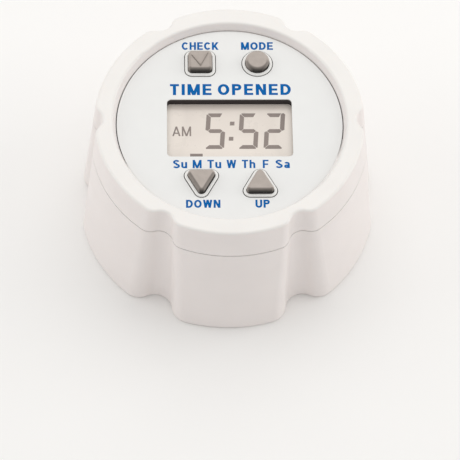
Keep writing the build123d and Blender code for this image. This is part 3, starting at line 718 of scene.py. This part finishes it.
class PILLCAP_OT_shell(bpy.types.Operator):
    """Finishes the white shell and the grip skirt"""

    bl_idname = "pillcap.shell"
    bl_label = "Shell"

    def execute(self, context):
        looks = context.scene.pillcap_plastics
        material = moulded(
            "shell_white", looks.shell_colour, looks.shell_roughness, looks.grain_size,
            looks.grain_depth, dust_and_crease_shade=0.12, glow=0.1, painted_shade_colour=looks.painted_shade_colour,
        )
        dress("upper_shell", material)
        dress("grip_skirt", material)
        return {"FINISHED"}


# The bead of glue in the gap at the face's front: where it runs, and how far it takes to sink at
# its ends, in degrees; its top and foot from the film; and its play in the gap
GLUE_START = 195
GLUE_END = 352
GLUE_RUN_OUT = 13
GLUE_TOP = -0.06 * MM
GLUE_FOOT = -1 * MM
GLUE_PLAY = 0.005 * MM


def bead_mesh(radius, width, steps=75):
    """A bead in the gap round the face; its top sinks to its foot at both ends."""
    inner = radius + GLUE_PLAY
    outer = radius + width - GLUE_PLAY
    foot = FACE_TOP + GLUE_FOOT
    sections = []
    for index in range(steps + 1):
        angle = GLUE_START + (GLUE_END - GLUE_START) * index / steps
        share = min(1, (min(angle - GLUE_START, GLUE_END - angle) + 1) / (GLUE_RUN_OUT + 1))
        top = foot + (GLUE_TOP - GLUE_FOOT) * share
        across, along = math.cos(math.radians(angle)), math.sin(math.radians(angle))
        corners = ((inner, foot), (outer, foot), (outer, top), (inner, top))
        sections.append([(across * reach, along * reach, height) for reach, height in corners])
    return swept_mesh(sections)


class PILLCAP_OT_face(bpy.types.Operator):
    """Finishes the face plate with its collars, the film on it, and the glue at its front"""

    bl_idname = "pillcap.face"
    bl_label = "Face"

    def execute(self, context):
        looks = context.scene.pillcap_plastics
        plate = Finish("collar_white", 0.3)
        plate.tint(looks.face_colour, spread=0.012, size=5 * MM)
        # Painted shade: the plate turns dark grey where it lies deep in a crease, neighbours
        # included, down in the gaps of the face
        depth = plate.ramp(plate.crease(0.5 * MM, alone=False), 0.5, 0.85, to_high=0.9)
        plate.colour = plate.mix(depth, plate.colour, looks.painted_gap_shade)
        plate.sheen_patches(0.3, spread=0.05)
        plate.relief(plate.noise(looks.grain_size), 0.001 * MM)
        dress("face_disc", plate.done())
        film = Finish("face_film", 0.42, specular=0.4)
        film.tint(context.scene.pillcap_film.film_colour, spread=0.01, size=5 * MM)
        # Dust and painted shade in the film's creases
        film.dust_and_crease_shade(linear(150, 148, 142), reach=0.5 * MM, amount=0.2)
        film.sheen_patches(0.42, spread=0.04)
        film.relief(film.noise(0.06 * MM), 0.0012 * MM)
        dress("face_overlay", film.done())
        glue = Finish("glue_white", 0.4)
        glue.tint(looks.face_colour, spread=0.02, size=1.5 * MM)
        glue.sheen_patches(0.4, spread=0.08, size=1 * MM)
        glue.relief(glue.noise(0.8 * MM), 0.01 * MM)
        piece("face_glue", bead_mesh(FACE_RADIUS, looks.glue_width), glue.done(), "cap")
        return {"FINISHED"}


# Words on the film: piece, words, left, right, foot and height, in millimetres
WORDS = (
    ("legend_check", "CHECK", -9.91, -2.09, 18.79, 1.97),
    ("legend_mode", "MODE", 2.69, 9.48, 18.79, 1.97),
    ("legend_down", "DOWN", -9.27, -2.21, -20.73, 1.93),
    ("legend_up", "UP", 4.99, 7.93, -20.73, 1.93),
)
TITLE_BOX = (-12.45, 13.0, 7.19, 2.79)
TITLE_GAP = 0.18
# Days of the week with the width of each, in millimetres
DAYS = (
    ("Su", 2.96), ("M", 1.85), ("Tu", 2.87), ("W", 2.04), ("Th", 2.78), ("F", 1.2), ("Sa", 3.06),
)
DAY_SPACING = 3.55
DAY_SHIFT = 0.2
DAY_FOOT = -11.08
DAY_HEIGHT = 2.03


class PILLCAP_OT_words(bpy.types.Operator):
    """Prints the words on the film"""

    bl_idname = "pillcap.words"
    bl_label = "Printed words"

    def execute(self, context):
        looks = context.scene.pillcap_film
        ink = Finish("blue_ink", 0.5, specular=0.08)
        ink.tint(looks.ink_colour, spread=0.12, size=0.6 * MM)
        ink.sheen_patches(0.5, spread=0.06, size=0.5 * MM)
        ink.relief(ink.noise(0.05 * MM), 0.001 * MM)
        ink = ink.done()
        foot = FACE_TOP - looks.ink_thickness / 2
        top = FACE_TOP + looks.ink_thickness
        rows = [(name, words, box, LETTER_GAP) for name, words, *box in WORDS]
        rows.append(("legend_title", looks.title, TITLE_BOX, TITLE_GAP))
        for name, words, box, gap in rows:
            mesh = letters_mesh(words, *(Vector(box) * MM), foot, top, looks.stroke_share, gap)
            piece(name, mesh, ink, "cap")
        days = []
        for index, (words, width) in enumerate(DAYS):
            centre = (DAY_SHIFT + DAY_SPACING * (index - len(DAYS) // 2)) * MM
            half = width * MM / 2
            days.append(letters_mesh(
                words, centre - half, centre + half, DAY_FOOT * MM, DAY_HEIGHT * MM, foot, top,
                looks.day_stroke_share,
            ))
        piece("legend_days", gathered_mesh(days), ink, "cap")
        return {"FINISHED"}


# Segments that each digit lights, named as makers name them, from the top round to the middle
LIT_SEGMENTS = {
    "0": "abcdef", "1": "bc", "2": "abged", "3": "abgcd", "4": "fgbc",
    "5": "afgcd", "6": "afgedc", "7": "abc", "8": "abcdefg", "9": "abcdfg",
}


def digit_outlines(lit, centre, width, height, stroke, gap, slant):
    """The outlines of a digit's lit segments, leaning to the right. The corners are mitred, but at
    the upper right the riser takes the corner."""
    x = width / 2
    y = height / 2
    s = stroke
    g = gap / 2
    left_end = [(-x + s + g, y - s), (-x + s * 0.3 + g, y - s * 0.3), (-x + s * 0.4, y)]
    top = [*left_end, (x - s * 0.9, y), (x - s * 1.35, y - s)]
    foot = [*left_end, (x - s * 0.4, y), (x - s * 0.3 - g, y - s * 0.3), (x - s - g, y - s)]
    low_end = [(x, g + s * 0.25), (x - s * 0.5, g), (x - s, g + s * 0.5)]
    square = [
        (x - s * 0.77, y), (x - s * 0.3, y), (x, y - s * 0.3), *low_end, (x - s, y - s * 0.5),
    ]
    mitred = [(x, y - s * 0.35), *low_end, (x - s, y - s - g), (x - s * 0.25, y - s * 0.25 - g)]
    waist = [
        (-x + s * 0.5 + g, 0), (-x + s + g, s * 0.5), (x - s - g, s * 0.5),
        (x - s * 0.5 - g, 0), (x - s - g, -s * 0.5), (-x + s + g, -s * 0.5),
    ]
    # Each segment's outline, and which way it is flipped across and along
    flips = {
        "a": (top, 1, 1), "b": (square, 1, 1), "c": (mitred, 1, -1), "d": (foot, 1, -1),
        "e": (mitred, -1, -1), "f": (mitred, -1, 1), "g": (waist, 1, 1),
    }
    lean = math.tan(slant)
    outlines = []
    for segment in lit:
        points, side, end = flips[segment]
        outlines.append([
            (centre[0] + px * side + py * end * lean, centre[1] + py * end) for px, py in points
        ])
    return outlines


# Places on the display, in millimetres; a box is left, right, foot and height
DIGIT_PLACES = ((-2.99, -0.54), (4.0, -0.54), (9.4, -0.54))
COLON_PLACES = ((0.58, 1.35), (0.29, -2.46))
COLON_SIZE = 0.95
HALF_DAY_BOX = (-11.99, -8.06, -1.79, 2.4)
HALF_DAY_STROKE_SHARE = 0.14
DAY_BAR = ((-8.31, -6.99), (-5.69, -6.99), (-5.69, -6.18), (-8.31, -6.18))
# How far the display's marks lie in its glass and stand out of it
MARK_SINK = 0.005 * MM
MARK_RISE = 0.01 * MM


class PILLCAP_OT_display(bpy.types.Operator):
    """Finishes the display and its frame, and lights its segments"""

    bl_idname = "pillcap.display"
    bl_label = "Display"

    def finish_layers(self, looks):
        """Gives the display's glass, reflector, frame and strips their materials."""
        glass = Finish("display_face", 0.3, coat=0.6, coat_roughness=0.08)
        glass.tint(looks.ground_colour, spread=0.015, size=6 * MM)
        # Painted light: the ground turns paler towards the display's ends and foot, offsetting the
        # shade of the frame's walls
        x, y, _ = glass.parts(glass.place)
        ends = glass.ramp(glass.math("ABSOLUTE", x), 9 * MM, 13 * MM)
        foot = glass.ramp(y, -7 * MM, -1 * MM, to_low=0.4, to_high=0.0)
        pale = glass.math("MAXIMUM", ends, foot)
        glass.colour = glass.mix(pale, glass.colour, looks.painted_light_colour)
        glass.sheen_patches(0.3, spread=0.04)
        glass.relief(glass.noise(0.08 * MM), 0.0006 * MM)
        glass = glass.done()
        dress("display_front_glass", glass)
        dress("display_rear_glass", glass)
        dress("display_reflector", metal("reflector_foil", linear(214, 208, 190), 0.4))
        dress("display_frame", moulded(
            "frame_black", linear(34, 25, 27), 0.5, 0.08 * MM, 0.003 * MM, dust_and_crease_shade=0.1
        ))
        dress("contact_strips", rubber("strip_rubber", linear(176, 120, 130), 0.6))

    def execute(self, context):
        looks = context.scene.pillcap_display
        self.finish_layers(looks)
        marks = Finish("display_marks", 0.32, coat=0.6, coat_roughness=0.08)
        marks.tint(looks.segment_colour, spread=0.05, size=0.8 * MM)
        marks.sheen_patches(0.32, spread=0.04)
        marks = marks.done()
        foot = GLASS_TOP - MARK_SINK
        top = GLASS_TOP + MARK_RISE
        digits = []
        for digit, place in zip(looks.digits, DIGIT_PLACES):
            digits += digit_outlines(
                LIT_SEGMENTS[digit], [p * MM for p in place], looks.digit_width,
                looks.digit_height, looks.stroke, looks.gap, looks.slant,
            )
        half = COLON_SIZE * MM / 2
        lean = math.tan(looks.slant)
        corners = [(a * half, b * half) for a, b in ((-1, -1), (1, -1), (1, 1), (-1, 1))]
        colon = [
            [(x * MM + across + up * lean, y * MM + up) for across, up in corners]
            for x, y in COLON_PLACES
        ]
        day_bar = [[(x * MM, y * MM) for x, y in DAY_BAR]]
        pieces = {"display_digits": digits, "display_colon": colon, "display_day_bar": day_bar}
        for name, outlines in pieces.items():
            piece(name, plate_mesh(outlines, foot, top), marks, "cap")
        box = Vector(HALF_DAY_BOX) * MM
        half_day = letters_mesh("AM", *box, foot, top, HALF_DAY_STROKE_SHARE)
        piece("display_half_day", half_day, marks, "cap")
        return {"FINISHED"}


# The tick on the check key, from the key's middle, in millimetres
TICK_POINTS = ((-1.75, 1.2), (0.08, -1.5), (1.66, 1.75))


class PILLCAP_OT_keys(bpy.types.Operator):
    """Finishes the four keys and raises the tick on the check key"""

    bl_idname = "pillcap.keys"
    bl_label = "Keys"

    def execute(self, context):
        looks = context.scene.pillcap_keys
        material = rubber("key_grey", looks.key_colour, 0.55, looks.key_painted_shade_colour)
        for name in KEY_NAMES:
            dress(f"{name}_key", material)
        centre = middle("check_key")
        points = [Vector((centre.x + x * MM, centre.y + y * MM)) for x, y in TICK_POINTS]
        sides, _ = band(points, looks.tick_width)
        ridge = ridge_mesh(sides, KEY_TOP - looks.tick_height, KEY_TOP + looks.tick_height)
        piece("check_tick", ridge, material, "check_key")
        return {"FINISHED"}


class PILLCAP_OT_domes(bpy.types.Operator):
    """Builds the soft domes under the keys"""

    bl_idname = "pillcap.domes"
    bl_label = "Rubber domes"

    def execute(self, context):
        looks = context.scene.pillcap_keys
        material = rubber("dome_clear", linear(205, 203, 198), 0.45)
        for name in KEY_NAMES:
            low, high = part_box(f"{name}_dome")
            centre = middle(f"{name}_dome")
            base = (high.x - low.x) / 2
            wall = looks.dome_wall
            top = looks.dome_top
            rim = low.z + looks.dome_rim
            corners = [
                (0, high.z), (0, high.z - wall), (top - wall, high.z - wall), (base - wall, rim),
                (base - wall, low.z), (base, low.z), (base, rim), (top, high.z),
            ]
            # The first two corners are on the dome's axis
            profile = rounded(corners, looks.dome_rounding, sharp=(0, 1))
            dome = piece(
                f"{name}_dome_soft", turned_mesh(profile, centre, 64), material,
                "cap", [f"{name}_dome"],
            )
            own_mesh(dome)
        return {"FINISHED"}


class PILLCAP_OT_electronics(bpy.types.Operator):
    """Finishes the circuit board, what is soldered to it, the coin cell and its contacts"""

    bl_idname = "pillcap.electronics"
    bl_label = "Electronics"

    def board_green(self):
        """Green solder resist over copper tracks."""
        board = Finish("board_green", 0.4, coat=0.3, coat_roughness=0.2)
        board.tint(linear(28, 92, 52), spread=0.08, size=3 * MM)
        tracks = board.add("ShaderNodeTexBrick", offset=0.37, squash=1.6)
        mapping = board.add("ShaderNodeMapping")
        mapping.inputs["Scale"].default_value = [1 / (3 * MM)] * 3
        board.feed(mapping.inputs["Vector"], board.place)
        board.feed(tracks.inputs["Vector"], mapping.outputs["Vector"])
        for socket, tone in (("Color1", 0.0), ("Color2", 0.0), ("Mortar", 1.0)):
            tracks.inputs[socket].default_value = (tone, tone, tone, 1)
        tracks.inputs["Scale"].default_value = 1.0
        tracks.inputs["Mortar Size"].default_value = 0.04
        lines = tracks.outputs["Color"]
        board.colour = board.mix(lines, board.colour, linear(58, 132, 78))
        board.relief(lines, 0.02 * MM)
        board.relief(board.noise(0.2 * MM), 0.003 * MM)
        return board.done()

    def execute(self, context):
        dress("circuit_board", self.board_green())
        chip = Finish("chip_black", 0.35)
        chip.tint(linear(24, 24, 26), spread=0.2, size=1 * MM)
        chip.sheen_patches(0.35, spread=0.1, size=0.8 * MM)
        chip.relief(chip.noise(0.8 * MM), 0.03 * MM)
        dress("clock_chip", chip.done())
        ceramic = Finish("part_tan", 0.45)
        ceramic.tint(linear(168, 140, 104), spread=0.1, size=0.4 * MM)
        ends = ceramic.ramp(ceramic.noise(0.3 * MM), 0.45, 0.6, to_high=0.4)
        ceramic.colour = ceramic.mix(ends, ceramic.colour, linear(196, 188, 172))
        ceramic.relief(ceramic.noise(0.1 * MM), 0.004 * MM)
        dress("board_parts", ceramic.done())
        dress("sounder", moulded(
            "sounder_black", linear(30, 30, 32), 0.5, 0.1 * MM, 0.004 * MM, dust_and_crease_shade=0.1
        ))
        dress("clock_crystal", metal("can_nickel", linear(200, 198, 192), 0.28, brush=(1, 20, 1)))
        spring_metal = metal("contact_gold", linear(214, 184, 120), 0.3, brush=(12, 1, 1))
        for node in ("negative_contact", "positive_contact", "open_switch"):
            dress(node, spring_metal)
        dress("coin_cell", metal("cell_steel", linear(206, 205, 202), 0.25, brush=(1, 1, 0.2)))
        return {"FINISHED"}


# Words beside the battery door, with the angle and width of each, in degrees and millimetres
DOOR_WORDS = (("CLOSE", 65, 6.1), ("OPEN", 115, 4.9))
DOOR_WORD_RADIUS = 14.6
DOOR_WORD_HEIGHT = 1.6
DOOR_WORD_STROKE_SHARE = 0.17
DOOR_ARROW = ((-1.2, 9.6), (1.2, 9.6), (0, 11.8))
DOOR_ARROW_ANGLE = 65
# The part of a raised mark's height that it is sunk into what carries it
MARK_ROOT = 1 / 8


def under_side(angle, radius):
    """The place of a mark on the closure's ceiling: it reads from below, its top outwards."""
    out = Vector((math.cos(math.radians(angle)), math.sin(math.radians(angle)), 0))
    turn = Matrix((UP.cross(out), out, -UP)).transposed().to_4x4()
    return Matrix.Translation(out * radius + UP * CEILING) @ turn


class PILLCAP_OT_closure(bpy.types.Operator):
    """Finishes the threaded closure with the words on its ceiling, and builds its foam seal"""

    bl_idname = "pillcap.closure"
    bl_label = "Closure and seal"

    def execute(self, context):
        looks = context.scene.pillcap_plastics
        plastic = moulded(
            "closure_white", looks.closure_colour, 0.36, looks.grain_size, looks.grain_depth,
            dust_and_crease_shade=0.3, glow=0.1,
        )
        dress("closure_insert", plastic)
        words = []
        for word, angle, width in DOOR_WORDS:
            half = width * MM / 2
            mesh = letters_mesh(
                word, -half, half, 0, DOOR_WORD_HEIGHT * MM, -looks.mark_height * MARK_ROOT,
                looks.mark_height, DOOR_WORD_STROKE_SHARE,
            )
            mesh.transform(under_side(angle, DOOR_WORD_RADIUS * MM))
            words.append(mesh)
        piece("closure_words", gathered_mesh(words), plastic, "cap")
        foam = Finish("seal_foam", 0.8, specular=0.3)
        foam.tint(linear(226, 226, 222), spread=0.04, size=2 * MM)
        foam.relief(foam.noise(0.25 * MM, detail=3.0, roughness=0.6), 0.04 * MM)
        # Dust and painted shade in the foam's creases
        foam.dust_and_crease_shade(linear(150, 146, 138), reach=0.8 * MM, amount=0.3)
        low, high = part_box("seal_ring")
        outer = (high.x - low.x) / 2
        inner = outer - looks.seal_width
        edge = looks.seal_rounding
        section = [(inner, low.z), (outer, low.z), (outer, high.z), (inner, high.z)]
        washer = turned_mesh(rounded(section, edge), (0, 0, 0), 128)
        # The drill goes past both faces of the washer
        foot, head = low.z - edge, high.z + edge
        drill = [(0, foot), (looks.seal_hole, foot), (looks.seal_hole, head), (0, head)]
        hole = turned_mesh(drill, middle("sense_plunger"), 48)
        piece(
            "seal_ring_soft", welded_mesh([washer, hole], "DIFFERENCE"), foam.done(),
            "cap", ["seal_ring"],
        )
        return {"FINISHED"}


class PILLCAP_OT_battery_door(bpy.types.Operator):
    """Finishes the battery door, its arrow and its ring"""

    bl_idname = "pillcap.battery_door"
    bl_label = "Battery door"

    def execute(self, context):
        looks = context.scene.pillcap_plastics
        plastic = moulded(
            "door_grey", looks.door_colour, 0.4, looks.grain_size, looks.grain_depth, dust_and_crease_shade=0.35
        )
        dress("battery_door", plastic)
        outline = [(x * MM, y * MM) for x, y in DOOR_ARROW]
        arrow = plate_mesh([outline], -looks.mark_height * MARK_ROOT, looks.mark_height)
        arrow.transform(under_side(DOOR_ARROW_ANGLE, 0))
        piece("door_arrow", arrow, plastic, "battery_door")
        dress("door_ring", rubber("ring_black", linear(34, 34, 36), 0.5))
        return {"FINISHED"}


class PILLCAP_OT_plunger(bpy.types.Operator):
    """Finishes the plunger and winds its spring"""

    bl_idname = "pillcap.plunger"
    bl_label = "Plunger and spring"

    def execute(self, context):
        looks = context.scene.pillcap_plastics
        dress("sense_plunger", moulded(
            "plunger_blue", linear(120, 150, 190), 0.35, 0.08 * MM, 0.002 * MM, dust_and_crease_shade=0.2
        ))
        low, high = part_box("plunger_spring")
        centre = middle("plunger_spring")
        wire = looks.wire_radius
        coil = coil_mesh(
            centre, looks.coil_radius, wire, low.z + wire, high.z - wire, looks.coil_turns
        )
        spring = piece(
            "plunger_spring_soft", coil, metal("spring_wire", linear(190, 190, 188), 0.22),
            "cap", ["plunger_spring"],
        )
        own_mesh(spring)
        return {"FINISHED"}


class PILLCAP_OT_screws(bpy.types.Operator):
    """Finishes the three sets of screws"""

    bl_idname = "pillcap.screws"
    bl_label = "Screws"

    def execute(self, context):
        material = metal("screw_zinc", linear(188, 190, 192), 0.3)
        for node in ("board_screws", "closure_screws", "case_screws"):
            dress(node, material)
        return {"FINISHED"}


# The soft lights: name, place and size in metres, and colour
LAMPS = (
    ("top", (0.02, 0.22, 0.5), 0.5, (1, 0.985, 0.97)),
    ("left", (-0.5, 0.06, 0.24), 0.4, (1, 0.99, 0.98)),
    ("right", (0.5, 0.06, 0.24), 0.4, (1, 0.985, 0.97)),
)
# The floor, in metres: half its width, its foot, and its top just under the cap
FLOOR_HALF = 3.0
FLOOR_FOOT = -0.01
FLOOR_TOP = -0.01 * MM


class PILLCAP_OT_studio(bpy.types.Operator):
    """Sets the floor, the lights and the camera"""

    bl_idname = "pillcap.studio"
    bl_label = "Studio"

    def lay_floor(self, context, looks):
        """Lays the pale floor."""
        outline = bar(-FLOOR_HALF, FLOOR_HALF, -FLOOR_HALF, FLOOR_HALF)
        floor_mesh = plate_mesh([outline], FLOOR_FOOT, FLOOR_TOP)
        floor = bpy.data.objects.new("floor", floor_mesh)
        context.scene.collection.objects.link(floor)
        paint = Finish("floor_paint", 0.6, specular=0.2)
        paint.tint(looks.floor_colour, spread=0.004, size=60 * MM)
        paint.sheen_patches(0.6, spread=0.03, size=40 * MM)
        floor_mesh.materials.append(paint.done())

    def hang_lights(self, context, looks):
        """Sets the even light of the sky and the soft lamps."""
        world = bpy.data.worlds.new("studio_sky")
        context.scene.world = world
        world.use_nodes = True
        sky = world.node_tree.nodes["Background"]
        sky.inputs["Color"].default_value = (1, 1, 1, 1)
        sky.inputs["Strength"].default_value = looks.sky_strength
        for side, place, size, colour in LAMPS:
            lamp = bpy.data.lights.new(f"{side}_light", "AREA")
            lamp.size = size
            lamp.energy = getattr(looks, f"{side}_power")
            lamp.color = colour
            holder = bpy.data.objects.new(f"{side}_light", lamp)
            holder.location = place
            holder.rotation_euler = (-Vector(place)).to_track_quat("-Z", "Y").to_euler()
            context.scene.collection.objects.link(holder)

    def set_camera(self, context, looks):
        """Points the camera at its target."""
        back = Euler((0, 0, looks.azimuth)).to_matrix() @ Vector(
            (0, -math.cos(looks.elevation), math.sin(looks.elevation))
        )
        camera = bpy.data.objects.new("camera", bpy.data.cameras.new("camera"))
        camera.data.lens = looks.lens
        camera.data.clip_start = 10 * MM
        camera.location = Vector(looks.target) + back * looks.distance
        right = UP.cross(back).normalized()
        turn = Matrix((right, back.cross(right), back)).transposed()
        camera.rotation_euler = (turn @ Matrix.Rotation(looks.roll, 3, "Z")).to_euler()
        context.scene.collection.objects.link(camera)
        context.scene.camera = camera

    def execute(self, context):
        looks = context.scene.pillcap_studio
        context.scene.view_settings.view_transform = "Standard"
        self.lay_floor(context, looks)
        self.hang_lights(context, looks)
        self.set_camera(context, looks)
        return {"FINISHED"}


GROUPS = {
    "pillcap_plastics": PillCapPlastics,
    "pillcap_film": PillCapFilm,
    "pillcap_display": PillCapDisplay,
    "pillcap_keys": PillCapKeys,
    "pillcap_studio": PillCapStudio,
}
OPERATORS = (
    PILLCAP_OT_shell,
    PILLCAP_OT_face,
    PILLCAP_OT_words,
    PILLCAP_OT_display,
    PILLCAP_OT_keys,
    PILLCAP_OT_domes,
    PILLCAP_OT_electronics,
    PILLCAP_OT_closure,
    PILLCAP_OT_battery_door,
    PILLCAP_OT_plunger,
    PILLCAP_OT_screws,
    PILLCAP_OT_studio,
)


class PILLCAP_PT_panel(bpy.types.Panel):
    """Lists the cap's settings and the steps that build its looks"""

    bl_idname = "PILLCAP_PT_panel"
    bl_label = "Pill bottle cap"
    bl_space_type = "VIEW_3D"
    bl_region_type = "UI"
    bl_category = "Pill cap"

    def draw(self, context):
        for group, kind in GROUPS.items():
            box = self.layout.box()
            for name in kind.__annotations__:
                box.prop(getattr(context.scene, group), name)
        for operator in OPERATORS:
            self.layout.operator(operator.bl_idname)


def register():
    """Adds the settings, the steps and the panel to Blender."""
    for kind in (*GROUPS.values(), *OPERATORS, PILLCAP_PT_panel):
        bpy.utils.register_class(kind)
    for group, kind in GROUPS.items():
        setattr(bpy.types.Scene, group, PointerProperty(type=kind))


def unregister():
    """Takes them away again."""
    for group in GROUPS:
        delattr(bpy.types.Scene, group)
    for kind in (PILLCAP_PT_panel, *reversed(OPERATORS), *reversed(GROUPS.values())):
        bpy.utils.unregister_class(kind)


def main():
    register()
    for operator in OPERATORS:
        group, name = operator.bl_idname.split(".")
        getattr(getattr(bpy.ops, group), name)()


if __name__ == "__main__":
    main()
